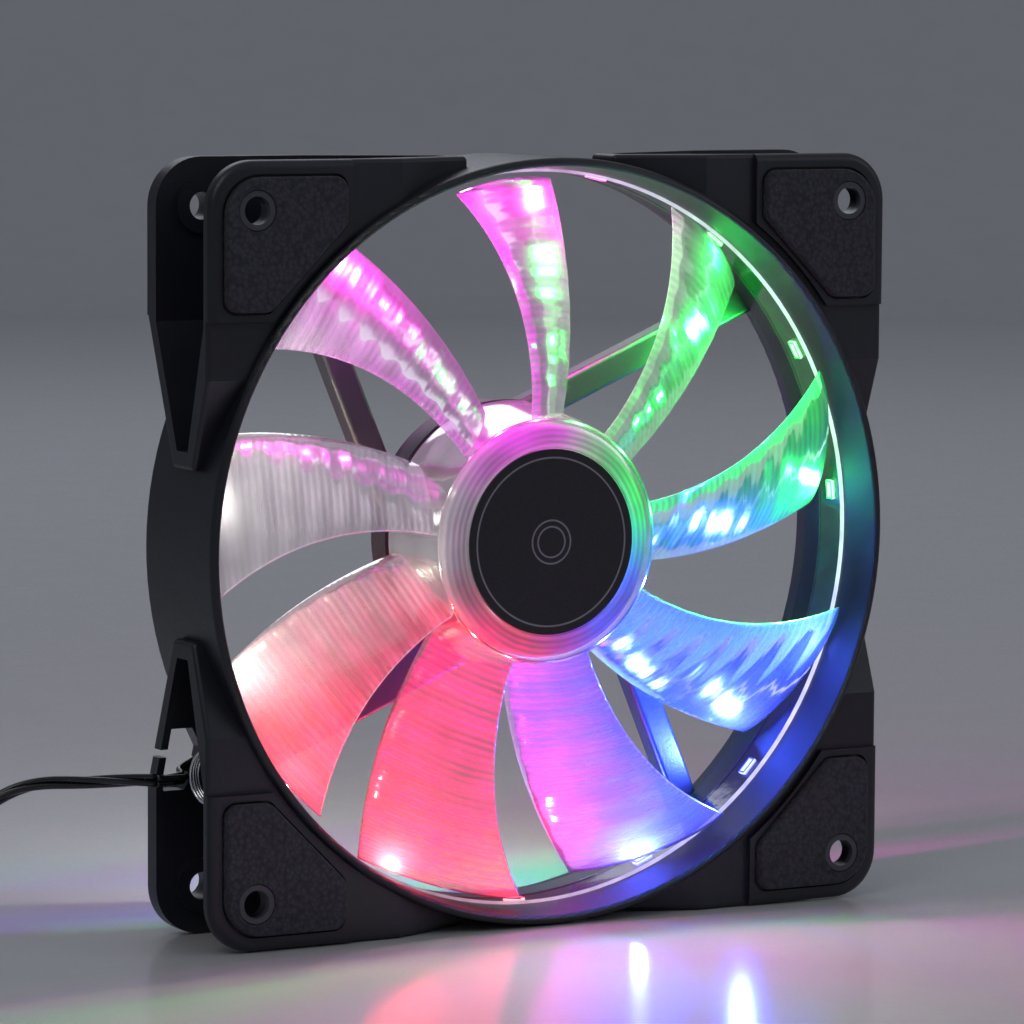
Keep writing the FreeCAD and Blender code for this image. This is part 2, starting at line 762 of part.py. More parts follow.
def centred_box(x0, length, y, half_y, z, half_z):
    """Box from x0 along +X, centred on y and z."""
    return Part.makeBox(length, 2 * half_y, 2 * half_z, Vec(x0, y - half_y, z - half_z))


pole_ys = [plug_y + i * plug_pitch for i in (-1, 0, 1)]
plug_mid_z = plug_height / 2
plug_front_x = plug_x - plug_length


def plug_housing():
    """Three-pole housing with a latch window over each contact."""
    box = centred_box(plug_front_x, plug_length, plug_y, plug_width / 2, plug_mid_z, plug_mid_z)
    box = box.makeFillet(plug_edge_r, box.Edges)
    for y in pole_ys:
        box = box.cut(centred_box(plug_front_x - 0.5, cavity_depth, y, cavity_half, plug_mid_z, cavity_half))
        box = box.cut(centred_box(plug_x - latch_x, latch_length, y, latch_half, plug_height, plug_mid_z))
    return box


def plug_contacts():
    """Hollow contacts in the housing."""
    start = plug_front_x + contact_setback
    contacts = []
    for y in pole_ys:
        contact = centred_box(start, contact_length, y, contact_half, plug_mid_z, contact_half)
        bore = centred_box(start - 1, contact_bore_depth + 1, y, contact_bore_half,
                           plug_mid_z, contact_bore_half)
        contacts.append(contact.cut(bore))
    return Part.makeCompound(contacts)


# ================================================================ write the nodes
save("frame", frame_solid())

corners = {"upper_left": (-1, 1), "upper_right": (1, 1), "lower_right": (1, -1), "lower_left": (-1, -1)}
for face, side in (("front", -1), ("rear", 1)):
    for place, (sx, sz) in corners.items():
        points, radii = pad_plan(sx, sz, 0.0)
        y0, y1 = sorted((side * (recess_y + fit), side * rear_y))
        pad = plate(points, radii, y0, y1)
        pad = pad.makeFillet(pad_edge_r, end_edges(pad, side * rear_y))
        pad = pad.cut(rod(pad_hole_r, y0 - 1, y1 + 1, sx * hole_pitch / 2, axis_z + sz * hole_pitch / 2))
        save(face + "_pad_" + place, pad)

save("light_ring", light_ring())
strip_half = ring_half_width - strip_margin
save("led_strip", ring(strip_outer_r, strip_inner_r, -strip_half, strip_half))
for i, colour in enumerate(led_colours):
    group = led_angles[i * leds_per_colour:(i + 1) * leds_per_colour]
    save("leds_" + colour, Part.makeCompound([about_axis(led_solid(), angle) for angle in group]))
resistor = led_box(resistor_length, resistor_width, ring_outer_r - resistor_height, ring_outer_r - fit)
save("led_resistors", Part.makeCompound([about_axis(resistor, angle) for angle in resistor_angles]))

save("impeller", impeller())
save("hub_label", rod(hub_label_r, hub_label_front_y, hub_recess_y - fit))
cup_in_r = cup_r - cup_wall
save("rotor_cup", turned(profile([(bush_r + fit, cup_front_y), (cup_r, cup_front_y), (cup_r, cup_rear_y),
                                  (cup_in_r, cup_rear_y), (cup_in_r, cup_front_y + cup_wall),
                                  (bush_r + fit, cup_front_y + cup_wall)])))
save("ring_magnet", ring(cup_in_r - fit, magnet_in_r, magnet_front_y, magnet_rear_y))
save("shaft_bush", ring(bush_r, shaft_r + fit / 2, cup_front_y, bush_rear_y))
save("shaft", rod(shaft_r, cup_front_y, shaft_rear_y).cut(ring(2 * shaft_r, shaft_groove_r, *shaft_groove_y)))
save("shaft_clip", ring(clip_r, shaft_groove_r + fit, *clip_y))

tube_fit_r = bearing_tube_in_r - fit
save("bearing_tube", ring(bearing_tube_r, bearing_tube_in_r, -4.9, base_floor_y - fit))
save("sleeve_bearing", ring(tube_fit_r, shaft_r + bearing_clearance, -4.1, 6.8))
save("oil_seal", ring(tube_fit_r, shaft_r + 0.2, -4.7, -4.2))
save("bearing_end_cap", rod(tube_fit_r, 8.7, base_floor_y - fit))
save("stator_core", stator_plan(core_r, core_front_y, core_rear_y))
save("insulator_front", stator_plan(insulator_r, core_front_y - insulator_thickness, core_front_y - fit))
save("insulator_rear", stator_plan(insulator_r, core_rear_y + fit, core_rear_y + insulator_thickness))
for i in range(4):
    save("winding_" + str(i + 1), winding(90 * i))
save("motor_board", ring(board_r, base_collar_r + 0.1, board_y, board_y + board_thickness - fit))
save("hall_sensor", hall_sensor())
save("driver_chip", board_block(4.9, 1.5, 3.9, 9.0, 160))
save("capacitor", board_block(3.2, 2.4, 2.6, 10.0, 280))
label_y = strut_rear_y - label_recess + fit
save("rear_label", rod(label_r, label_y, label_y + label_thickness - fit))

save("lead_loop", lead_loop())
save("motor_leads", routed_tube(lead_route(), lead_r, "motor_leads"))
save("cable", routed_tube(cable_route, cable_r, "cable"))
save("cable_coil", coil_solid())
save("cable_end", routed_tube(tail_route, cable_r, "cable_end"))
save("coil_tie", coil_tie())
save("plug_housing", plug_housing())
save("plug_contacts", plug_contacts())
coil_length = coil_turns * 2 * math.pi * coil_mean_r
print("coil length", round(coil_length, 1))
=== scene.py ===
"""Looks of the lit case fan: materials, detailed pieces, cable, floor, lights and camera."""

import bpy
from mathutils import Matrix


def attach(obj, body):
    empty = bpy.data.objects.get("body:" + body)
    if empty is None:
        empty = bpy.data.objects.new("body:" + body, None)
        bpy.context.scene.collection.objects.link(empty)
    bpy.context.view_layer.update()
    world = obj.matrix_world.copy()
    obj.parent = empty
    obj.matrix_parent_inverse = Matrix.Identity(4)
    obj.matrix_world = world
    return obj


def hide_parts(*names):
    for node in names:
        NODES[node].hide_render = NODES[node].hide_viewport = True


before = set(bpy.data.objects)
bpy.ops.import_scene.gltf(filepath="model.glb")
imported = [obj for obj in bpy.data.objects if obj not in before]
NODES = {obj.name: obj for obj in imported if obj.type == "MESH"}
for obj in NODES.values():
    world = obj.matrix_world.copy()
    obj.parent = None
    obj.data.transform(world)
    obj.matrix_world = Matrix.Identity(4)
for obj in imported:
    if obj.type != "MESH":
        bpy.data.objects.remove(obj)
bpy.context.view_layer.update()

import math

import bpy
from mathutils import Matrix, Vector

AXIS_Z = 0.060
HOUSING, ROTOR = "housing", "rotor"
MM = 0.001


# ---------------------------------------------------------------- camera
def turn(axis, angle):
    return Matrix.Rotation(angle, 3, axis)


eye = turn("Z", -0.510) @ turn("X", -0.100) @ turn("Y", -0.006)
cam_data = bpy.data.cameras.new("camera")
cam_data.sensor_width = 36.0
cam_data.lens = 184.2
cam_data.clip_start = 0.05
camera = bpy.data.objects.new("camera", cam_data)
bpy.context.collection.objects.link(camera)
right, ahead, up = eye.col[0], eye.col[1], eye.col[2]
pose = Matrix((right, up, -ahead)).transposed().to_4x4()
pose.translation = (-0.4016, -0.7148, 0.1461)
camera.matrix_world = pose
bpy.context.scene.camera = camera
bpy.context.scene.view_settings.view_transform = "Standard"


# ---------------------------------------------------------------- node helpers
class Graph:
    """A material's node tree with short calls."""

    def __init__(self, name):
        self.material = bpy.data.materials.new(name)
        self.material.use_nodes = True
        self.tree = self.material.node_tree
        self.tree.nodes.clear()

    def add(self, kind, links=None, **props):
        made = self.tree.nodes.new(kind)
        for key, value in props.items():
            setattr(made, key, value)
        for key, value in (links or {}).items():
            socket = made.inputs[key]
            if isinstance(value, bpy.types.NodeSocket):
                self.tree.links.new(value, socket)
            else:
                socket.default_value = value
        return made

    def math(self, operation, a, b=0.0, clamp=False):
        return self.add("ShaderNodeMath", {0: a, 1: b}, operation=operation, use_clamp=clamp).outputs[0]

    def place(self):
        return self.add("ShaderNodeTexCoord").outputs["Object"]

    def world_place(self):
        return self.add("ShaderNodeNewGeometry").outputs["Position"]

    def split(self, vector):
        return self.add("ShaderNodeSeparateXYZ", {0: vector}).outputs

    def radius(self, at):
        """Distance from the fan's axis."""
        x, _, z = self.split(at)
        z = self.math("SUBTRACT", z, AXIS_Z)
        return self.math("SQRT", self.math("ADD", self.math("MULTIPLY", x, x), self.math("MULTIPLY", z, z)))

    def noise(self, scale, detail=3.0, roughness=0.55, at=None):
        links = {"Vector": at or self.place(), "Scale": scale, "Detail": detail, "Roughness": roughness}
        return self.add("ShaderNodeTexNoise", links).outputs[0]

    def spread(self, value, low, high, start=0.3, end=0.7):
        links = {"Value": value, "From Min": start, "From Max": end, "To Min": low, "To Max": high}
        return self.add("ShaderNodeMapRange", links).outputs[0]

    def blend(self, factor, a, b):
        made = self.add("ShaderNodeMix", {0: factor}, data_type="RGBA")
        for index, value in ((6, a), (7, b)):
            if isinstance(value, bpy.types.NodeSocket):
                self.tree.links.new(value, made.inputs[index])
            else:
                made.inputs[index].default_value = (*value[:3], 1.0)
        return made.outputs[2]

    def bump(self, height, distance, strength=1.0, normal=None):
        links = {"Height": height, "Distance": distance, "Strength": strength}
        if normal:
            links["Normal"] = normal
        return self.add("ShaderNodeBump", links).outputs[0]

    def finish(self, shader):
        out = self.add("ShaderNodeOutputMaterial", {"Surface": shader})
        out.is_active_output = True
        return self.material


def plain(name, colour, rough=0.5, metal=0.0, grain=2500.0, depth=0.02, vary=0.15, **extra):
    """Solid material with grain, and slow changes of colour and gloss."""
    g = Graph(name)
    slow = g.noise(60.0, 4.0)
    fine = g.noise(grain, 2.0)
    dark = [c * (1 - vary) for c in colour]
    light = [min(1.0, c * (1 + vary)) for c in colour]
    links = {
        "Base Color": g.blend(g.spread(slow, 0.0, 1.0), dark, light),
        "Roughness": g.spread(fine, max(0.02, rough - 0.06), min(1.0, rough + 0.06)),
        "Metallic": metal,
        "Normal": g.bump(fine, depth * MM),
    }
    links.update(extra)
    return g.finish(g.add("ShaderNodeBsdfPrincipled", links).outputs[0])


def wear(node, material):
    """Gives a CAD node its material."""
    obj = NODES[node]
    for slot in obj.material_slots:
        slot.link = "OBJECT"
        slot.material = material


# ---------------------------------------------------------------- mesh helpers
def mesh_piece(name, verts, faces, material, body, smooth=True):
    mesh = bpy.data.meshes.new(name)
    mesh.from_pydata(verts, [], faces)
    mesh.validate()
    mesh.update()
    obj = bpy.data.objects.new(name, mesh)
    bpy.context.collection.objects.link(obj)
    mesh.materials.append(material)
    for face in mesh.polygons:
        face.use_smooth = smooth
    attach(obj, body)
    return obj


def spline_points(name, points, resolution=12):
    """Points along the smooth NURBS line through a route."""
    curve = bpy.data.curves.new(name + "_line", "CURVE")
    curve.dimensions = "3D"
    spline = curve.splines.new("NURBS")
    spline.points.add(len(points) - 1)
    for point, place in zip(spline.points, points):
        point.co = (*place, 1.0)
    spline.order_u = 3
    spline.use_endpoint_u = True
    curve.resolution_u = resolution
    holder = bpy.data.objects.new(name + "_line", curve)
    mesh = bpy.data.meshes.new_from_object(holder)
    line = [v.co.copy() for v in mesh.vertices]
    bpy.data.objects.remove(holder)
    bpy.data.meshes.remove(mesh)
    return line


def even(line, step):
    """The same line with points an equal distance apart."""
    out = [line[0]]
    left = step
    for a, b in zip(line, line[1:]):
        run = (b - a).length
        while run > left:
            a = a + (b - a) * (left / run)
            out.append(a)
            run -= left
            left = step
        left -= run
    out.append(line[-1])
    return out


def tube(line, radius, sides, verts, faces):
    """Adds a round tube along a line, closed at both ends."""
    normal = None
    base = len(verts)
    for i, p in enumerate(line):
        ahead_dir = (line[min(i + 1, len(line) - 1)] - line[max(i - 1, 0)]).normalized()
        if normal is None:
            normal = ahead_dir.orthogonal().normalized()
        normal = (normal - ahead_dir * normal.dot(ahead_dir)).normalized()
        side = ahead_dir.cross(normal)
        for k in range(sides):
            a = 2 * math.pi * k / sides
            verts.append(p + (normal * math.cos(a) + side * math.sin(a)) * radius)
        if i:
            for k in range(sides):
                a, b = base + (i - 1) * sides + k, base + (i - 1) * sides + (k + 1) % sides
                faces.append((a, b, b + sides, a + sides))
    faces.append(tuple(base + k for k in reversed(range(sides))))
    faces.append(tuple(base + (len(line) - 1) * sides + k for k in range(sides)))


def strands(line, count, offset, radius, lay, phase=0.0, sides=10):
    """Twisted strands round a line."""
    verts, faces = [], []
    rails = [[] for _ in range(count)]
    normal = None
    walked = 0.0
    for i, p in enumerate(line):
        ahead_dir = (line[min(i + 1, len(line) - 1)] - line[max(i - 1, 0)]).normalized()
        if normal is None:
            normal = ahead_dir.orthogonal().normalized()
        else:
            walked += (p - line[i - 1]).length
        normal = (normal - ahead_dir * normal.dot(ahead_dir)).normalized()
        side = ahead_dir.cross(normal)
        for k in range(count):
            a = phase + 2 * math.pi * (walked / lay + k / count)
            rails[k].append(p + (normal * math.cos(a) + side * math.sin(a)) * offset)
    for rail in rails:
        tube(rail, radius, sides, verts, faces)
    return verts, faces


# ---------------------------------------------------------------- materials
LIGHTS = {
    "green": (0.03, 1.0, 0.10),
    "pink": (1.0, 0.05, 0.62),
    "white": (1.0, 0.90, 0.72),
    "red": (1.0, 0.03, 0.03),
    "blue": (0.05, 0.10, 1.0),
}
LED_ORDER = ["green", "pink", "white", "red", "blue"]
LED_STEP, LED_PHASE = 24.0, 5.0
LED_RIM_R, LED_CUP_R = 0.05742, 0.05750
# back end of the painted highlight line along the liner's front edge
PAINTED_EDGE_BACK = -0.00312
SCREW_OFFSET, COLLAR_R, COLLAR_Y = 0.0525, 0.0031, 0.0112
RIDGE_PITCH, RIDGE_HEIGHT = 4.5, 0.09
# painted glow: colours of the lamps' light caught in the clear plastic and the liner, painted as emission
GLOW = {
    "green": (0.0, 1.0, 0.05),
    "pink": (0.72, 0.0, 0.68),
    "white": (0.25, 0.20, 0.25),
    "red": (0.95, 0.01, 0.16),
    "blue": (0.03, 0.0, 1.0),
}


def frame_plastic():
    g = Graph("frame_plastic")
    fine = g.noise(2600.0, 2.0)
    broad = g.noise(45.0, 4.0)
    colour = g.blend(g.spread(broad, 0.0, 1.0), (0.006, 0.007, 0.012), (0.012, 0.013, 0.022))
    x, y, z = g.split(g.place())
    from_hole = [g.math("SUBTRACT", g.math("ABSOLUTE", value), SCREW_OFFSET)
                 for value in (x, g.math("SUBTRACT", z, AXIS_Z))]
    squares = [g.math("MULTIPLY", value, value) for value in from_hole]
    near = g.math("LESS_THAN", g.math("SQRT", g.math("ADD", *squares)), COLLAR_R)
    collar = g.math("MULTIPLY", near, g.math("GREATER_THAN", g.math("ABSOLUTE", y), COLLAR_Y))
    colour = g.blend(collar, colour, (0.05, 0.052, 0.065))
    rough = g.math("ADD", g.spread(broad, 0.38, 0.46), g.spread(fine, -0.04, 0.05))
    normal = g.bump(fine, 0.03 * MM, 0.8)
    return g.finish(g.add("ShaderNodeBsdfPrincipled", {
        "Base Color": colour, "Roughness": rough, "Normal": normal, "Specular IOR Level": 0.55}).outputs[0])


def pad_rubber():
    g = Graph("pad_rubber")
    at = g.place()
    coarse = g.add("ShaderNodeTexVoronoi", {"Vector": at, "Scale": 1300.0}).outputs["Distance"]
    fine = g.noise(2600.0, 3.0, 0.7, at)
    height = g.math("ADD", coarse, g.math("MULTIPLY", fine, 0.8))
    colour = g.blend(g.spread(coarse, 0.0, 1.0, 0.1, 0.8), (0.036, 0.037, 0.052), (0.010, 0.010, 0.017))
    return g.finish(g.add("ShaderNodeBsdfPrincipled", {
        "Base Color": colour, "Roughness": g.spread(fine, 0.55, 0.85), "Normal": g.bump(height, 0.16 * MM, 1.0),
        "Specular IOR Level": 0.45, "Sheen Weight": 0.12, "Sheen Roughness": 0.5}).outputs[0])


def painted_glow_sectors(g, at):
    """Painted glow colours round the fan: the lamps' colours, blended from one group of three lamps to the next.
    """
    x, _, z = g.split(at)
    z = g.math("SUBTRACT", z, AXIS_Z)
    angle = g.math("DIVIDE", g.math("ARCTAN2", z, x), 2 * math.pi)
    share = g.math("FRACT", g.math("ADD", angle, 1.0 - (LED_PHASE - LED_STEP / 2) / 360.0))
    ramp = g.add("ShaderNodeValToRGB", {0: share})
    stops = ramp.color_ramp.elements
    groups = len(LED_ORDER)
    seam = [(a + b) / 2 for a, b in zip(GLOW[LED_ORDER[0]], GLOW[LED_ORDER[-1]])]
    stops[0].position, stops[1].position = 0.0, 1.0
    stops[0].color = stops[1].color = (*seam, 1.0)
    for i, name in enumerate(LED_ORDER):
        for edge in (-0.25, 0.25):
            stop = stops.new((i + 0.5 + edge) / groups)
            stop.color = (*GLOW[name], 1.0)
    return ramp.outputs[0]


def clear_plastic(name, milk, tint, rough, ridge, glow, pitch):
    """Clear moulding with some milk: light goes through it and scatters in it, and a painted glow in the lamps'
    colours (emission, brighter along the rings) stands in for the lamps' light caught in it.
    """
    g = Graph(name)
    at = g.place()
    radius = g.radius(at)
    flow = g.noise(90.0, 3.0, 0.5, at)
    wander = g.math("MULTIPLY", flow, 4.0)
    rings = g.math("SINE", g.math("ADD", g.math("MULTIPLY", radius, 2 * math.pi / (pitch * MM)), wander))
    broad = g.math("SINE", g.math("ADD", g.math("MULTIPLY", radius, 2 * math.pi / (RIDGE_PITCH * MM)), wander))
    normal = g.bump(rings, ridge * MM, 1.0)
    colour = g.blend(g.spread(flow, 0.0, 1.0), [c * 0.92 for c in tint], tint)
    through = g.add("ShaderNodeBsdfTransparent", {
        "Color": g.blend(g.spread(flow, 0.0, 1.0), (0.86, 0.88, 0.90), (0.95, 0.96, 0.97))})
    scatter = g.add("ShaderNodeBsdfTranslucent", {"Color": colour, "Normal": normal})
    face = g.add("ShaderNodeBsdfDiffuse", {"Color": colour, "Normal": normal})
    cloudy = g.add("ShaderNodeMixShader", {0: 0.5, 1: scatter.outputs[0], 2: face.outputs[0]})
    # painted glow: emission in the lamps' colours fixed round the fan, brighter along the fine rings and ridges as
    # painted light streaks
    lines = g.math("ADD", g.spread(rings, 0.55, 1.15, -1.0, 1.0), g.spread(broad, -0.25, 0.25, -1.0, 1.0))
    strength = g.math("MULTIPLY", lines, g.spread(flow, glow * 0.55, glow * 1.45))
    painted_glow_shader = g.add("ShaderNodeEmission", {"Color": painted_glow_sectors(g, g.world_place()), "Strength": strength})
    lit = g.add("ShaderNodeAddShader", {0: cloudy.outputs[0], 1: painted_glow_shader.outputs[0]})
    amount = g.math("ADD", g.spread(rings, -0.04, 0.06, -1.0, 1.0), g.spread(flow, milk - 0.05, milk + 0.05), True)
    body = g.add("ShaderNodeMixShader", {0: amount, 1: through.outputs[0], 2: lit.outputs[0]})
    gloss = g.add("ShaderNodeBsdfGlossy", {"Color": (1, 1, 1, 1), "Roughness": rough, "Normal": normal})
    edge = g.math("MULTIPLY", g.add("ShaderNodeFresnel", {"IOR": 1.45}).outputs[0], 0.7)
    return g.finish(g.add("ShaderNodeMixShader", {0: edge, 1: body.outputs[0], 2: gloss.outputs[0]}).outputs[0])


def ring_glow():
    """Clear liner: a painted highlight along its front edge, brighter towards the right side, and a painted glow
    in the lamps' colours in the rest.
    """
    g = Graph("ring_glow")
    at = g.place()
    x, y, _ = g.split(at)
    wavy = g.noise(300.0, 2.0, 0.5, at)
    colours = painted_glow_sectors(g, at)
    # painted highlight: emission along the front edge, stronger towards +x (the right side) where the lamps' light
    # falls
    painted_edge_mask = g.math("LESS_THAN", y, PAINTED_EDGE_BACK)
    side = g.spread(x, 0.35, 1.6, -0.03, 0.05)
    painted_edge_highlight = g.add("ShaderNodeEmission", {
        "Color": g.blend(0.35, (0.80, 0.80, 1.0), colours),
        "Strength": g.math("MULTIPLY", side, g.spread(wavy, 0.8, 1.2))})
    # painted glow in the lamps' colours over the rest of the liner
    glow = g.add("ShaderNodeEmission", {"Color": colours, "Strength": g.spread(wavy, 0.25, 0.6)})
    through = g.add("ShaderNodeBsdfTransparent", {"Color": (0.92, 0.93, 0.96, 1.0)})
    gloss = g.add("ShaderNodeBsdfGlossy", {"Color": (1, 1, 1, 1), "Roughness": 0.10,
                                          "Normal": g.bump(wavy, 0.08 * MM)})
    clear = g.add("ShaderNodeMixShader", {0: 0.12, 1: through.outputs[0], 2: gloss.outputs[0]})
    liner = g.add("ShaderNodeMixShader", {0: 0.10, 1: clear.outputs[0], 2: glow.outputs[0]})
    return g.finish(g.add("ShaderNodeMixShader", {
        0: g.math("MULTIPLY", painted_edge_mask, 0.85), 1: liner.outputs[0], 2: painted_edge_highlight.outputs[0]}).outputs[0])


def lamp(name):
    """Lit lamp: a hot middle in its cup and a coloured rim."""
    g = Graph("lamp_" + name)
    at = g.place()
    wavy = g.noise(1500.0, 2.0, 0.5, at)
    hot = [0.25 + c * 0.75 for c in LIGHTS[name]]
    in_cup = g.spread(g.radius(at), 0.0, 1.0, LED_RIM_R, LED_CUP_R)
    colour = g.blend(in_cup, LIGHTS[name], hot)
    strength = g.math("MULTIPLY", g.spread(wavy, 0.85, 1.15), g.spread(in_cup, 1.2, 3.0, 0.0, 1.0))
    return g.finish(g.add("ShaderNodeBsdfPrincipled", {
        "Base Color": colour, "Roughness": 0.25, "Emission Color": colour,
        "Emission Strength": strength}).outputs[0])


def label_face(mark):
    """Black satin disc with fine turning lines; mark adds three plain thin circles."""
    g = Graph("label_mark" if mark else "label_plain")
    at = g.place()
    radius = g.radius(at)
    lines = g.math("SINE", g.math("MULTIPLY", radius, 2 * math.pi / (0.35 * MM)))
    fine = g.noise(2400.0, 2.0, 0.6, at)
    base = g.blend(g.spread(fine, 0.0, 1.0), (0.005, 0.005, 0.009), (0.012, 0.012, 0.018))
    if mark:
        shown = 0.0
        for circle in (2.4, 3.4, 13.2):
            off = g.math("ABSOLUTE", g.math("SUBTRACT", radius, circle * MM))
            shown = g.math("ADD", g.math("LESS_THAN", off, 0.14 * MM), shown, True)
        base = g.blend(g.math("MULTIPLY", shown, 0.8), base, (0.26, 0.26, 0.29))
    height = g.math("ADD", g.math("MULTIPLY", lines, 0.3), fine)
    return g.finish(g.add("ShaderNodeBsdfPrincipled", {
        "Base Color": base, "Roughness": g.spread(fine, 0.28, 0.4), "Normal": g.bump(height, 0.01 * MM),
        "Coat Weight": 0.25, "Coat Roughness": 0.2}).outputs[0])


def spun_steel():
    g = Graph("spun_steel")
    at = g.place()
    draw = g.add("ShaderNodeCombineXYZ", {0: g.radius(at), 1: g.split(at)[1], 2: 0.0}).outputs[0]
    lines = g.noise(5200.0, 3.0, 0.6, draw)
    broad = g.noise(90.0, 3.0, 0.5, at)
    colour = g.blend(g.spread(broad, 0.0, 1.0), (0.62, 0.63, 0.66), (0.80, 0.81, 0.83))
    return g.finish(g.add("ShaderNodeBsdfPrincipled", {
        "Base Color": colour, "Metallic": 1.0, "Roughness": g.spread(lines, 0.2, 0.38),
        "Normal": g.bump(lines, 0.02 * MM)}).outputs[0])


def wound_copper():
    """Fine enamelled wire wound round a tooth."""
    g = Graph("wound_copper")
    at = g.place()
    shape = {"Vector": at, "Scale": 260.0, "Distortion": 1.2, "Detail": 2.0, "Detail Scale": 2.0}
    turns = g.add("ShaderNodeTexWave", shape, wave_type="BANDS", bands_direction="DIAGONAL").outputs[1]
    colour = g.blend(turns, (0.32, 0.10, 0.03), (0.75, 0.30, 0.12))
    return g.finish(g.add("ShaderNodeBsdfPrincipled", {
        "Base Color": colour, "Metallic": 0.8, "Roughness": g.spread(turns, 0.22, 0.4, 0.0, 1.0),
        "Normal": g.bump(turns, 0.15 * MM)}).outputs[0])


def wire_jacket():
    g = Graph("wire_jacket")
    fine = g.noise(1800.0, 2.0)
    broad = g.noise(80.0, 3.0)
    colour = g.blend(g.spread(broad, 0.0, 1.0), (0.006, 0.006, 0.008), (0.014, 0.014, 0.018))
    return g.finish(g.add("ShaderNodeBsdfPrincipled", {
        "Base Color": colour, "Roughness": g.spread(fine, 0.16, 0.28), "Normal": g.bump(fine, 0.015 * MM),
        "Specular IOR Level": 0.6}).outputs[0])


MAT = {
    "frame": frame_plastic(),
    "pad": pad_rubber(),
    "ring": ring_glow(),
    # blade and hub: the second-to-last number is the strength of their painted glow
    "blade": clear_plastic("blade_plastic", 0.46, (0.31, 0.32, 0.37), 0.16, 0.006, 0.85, 1.15),
    "hub": clear_plastic("hub_plastic", 0.60, (0.48, 0.47, 0.53), 0.12, 0.002, 0.55, 0.9),
    "label": label_face(True),
    "rear_label": label_face(False),
    "steel": spun_steel(),
    "jacket": wire_jacket(),
    "copper": wound_copper(),
    "film": plain("strip_film", (0.012, 0.013, 0.018), 0.35, depth=0.01),
    "resistor": plain("resistor_chip", (0.02, 0.02, 0.022), 0.3),
    "bronze": plain("sintered_bronze", (0.45, 0.27, 0.13), 0.45, 0.9, grain=3500, depth=0.03),
    "seal": plain("seal_washer", (0.8, 0.8, 0.78), 0.4),
    "lamination": plain("lamination", (0.40, 0.41, 0.43), 0.35, 0.9, depth=0.03),
    "insulator": plain("insulator", (0.78, 0.78, 0.74), 0.5),
    "board": plain("board", (0.015, 0.11, 0.045), 0.35, depth=0.015, **{"Coat Weight": 0.4}),
    "chip": plain("chip", (0.015, 0.015, 0.017), 0.42),
    "capacitor": plain("capacitor", (0.40, 0.27, 0.15), 0.45),
    "bare_wire": plain("bare_wire", (0.82, 0.82, 0.84), 0.18, 1.0, grain=1500, depth=0.01, vary=0.05),
    "tie": plain("tie_strap", (0.012, 0.012, 0.014), 0.4),
    "plug": plain("plug_shell", (0.014, 0.014, 0.016), 0.38),
    "contact": plain("contact", (0.74, 0.73, 0.68), 0.25, 1.0, vary=0.05),
    "magnet": plain("magnet", (0.03, 0.028, 0.025), 0.6),
    "shaft": plain("shaft", (0.70, 0.71, 0.72), 0.15, 1.0, depth=0.005, vary=0.04),
    "clip": plain("clip", (0.75, 0.73, 0.68), 0.4),
    "cap": plain("bearing_cap", (0.02, 0.02, 0.022), 0.45),
    "brass": plain("bearing_tube", (0.62, 0.45, 0.18), 0.28, 1.0, vary=0.08),
}
WEAR = {
    "frame": "frame", "light_ring": "ring", "led_strip": "film", "led_resistors": "resistor",
    "bearing_tube": "brass", "sleeve_bearing": "bronze", "oil_seal": "seal", "bearing_end_cap": "cap",
    "stator_core": "lamination", "insulator_front": "insulator", "insulator_rear": "insulator",
    "motor_board": "board", "hall_sensor": "chip", "driver_chip": "chip", "capacitor": "capacitor",
    "rear_label": "rear_label", "hub_label": "label", "rotor_cup": "steel", "ring_magnet": "magnet",
    "shaft_bush": "bronze", "shaft": "shaft", "shaft_clip": "clip", "coil_tie": "tie",
    "plug_housing": "plug", "plug_contacts": "contact",
}
for node in NODES:
    if "_pad_" in node:
        wear(node, MAT["pad"])
    elif node.startswith("winding_"):
        wear(node, MAT["copper"])
    elif node in WEAR:
        wear(node, MAT[WEAR[node]])
for name in LED_ORDER:
    wear("leds_" + name, lamp(name))


# ---------------------------------------------------------------- cable
EXIT = (-0.0612, 0.0050, 0.0247)
COIL_X, COIL_Z0, COIL_Z1 = -0.112, 0.00155, 0.00375
COIL_OUT, COIL_IN = 0.0135, 0.0113
TURN_POINTS = 16
route = [EXIT, (-0.0700, 0.0073, 0.0250), (-0.0820, 0.0105, 0.0248), (-0.0902, 0.0122, 0.0192),
         (-0.0955, 0.0131, 0.0071), (-0.1038, 0.0135, 0.0016)]
grow = 1 / math.cos(math.pi / TURN_POINTS)
TURNS = [(COIL_OUT, COIL_Z0), (COIL_IN, COIL_Z0), (COIL_IN, COIL_Z1), (COIL_OUT, COIL_Z1)]
for step in range(4 * TURN_POINTS + 1):
    turn_now = min(3, step // TURN_POINTS)
    share = min(1.0, max(0.0, (step - turn_now * TURN_POINTS) / 4.0)) if turn_now else 1.0
    before = TURNS[max(0, turn_now - 1)]
    now = TURNS[turn_now]
    r = (before[0] + (now[0] - before[0]) * share) * grow
    z = before[1] + (now[1] - before[1]) * share
    a = math.pi / 2 + 2 * math.pi * step / TURN_POINTS
    route.append((COIL_X + r * math.cos(a), r * math.sin(a), z))
route += [(-0.119, 0.0133, 0.0036), (-0.126, 0.0125, 0.0026)]
cable_line = even(spline_points("cable", route), 0.0007)
cable_length = sum((b - a).length for a, b in zip(cable_line, cable_line[1:]))
print("cable length", round(cable_length, 4))
verts, faces = strands(cable_line, 3, 0.00059, 0.00050, 0.048)
cable = mesh_piece("cable_strands", verts, faces, MAT["jacket"], HOUSING)
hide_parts("cable", "cable_coil", "cable_end")

# the same strands inside the frame, along the wide strut and through the keyhole
strut_dir = math.radians(203)
STRUT_SIDE = 0.0105


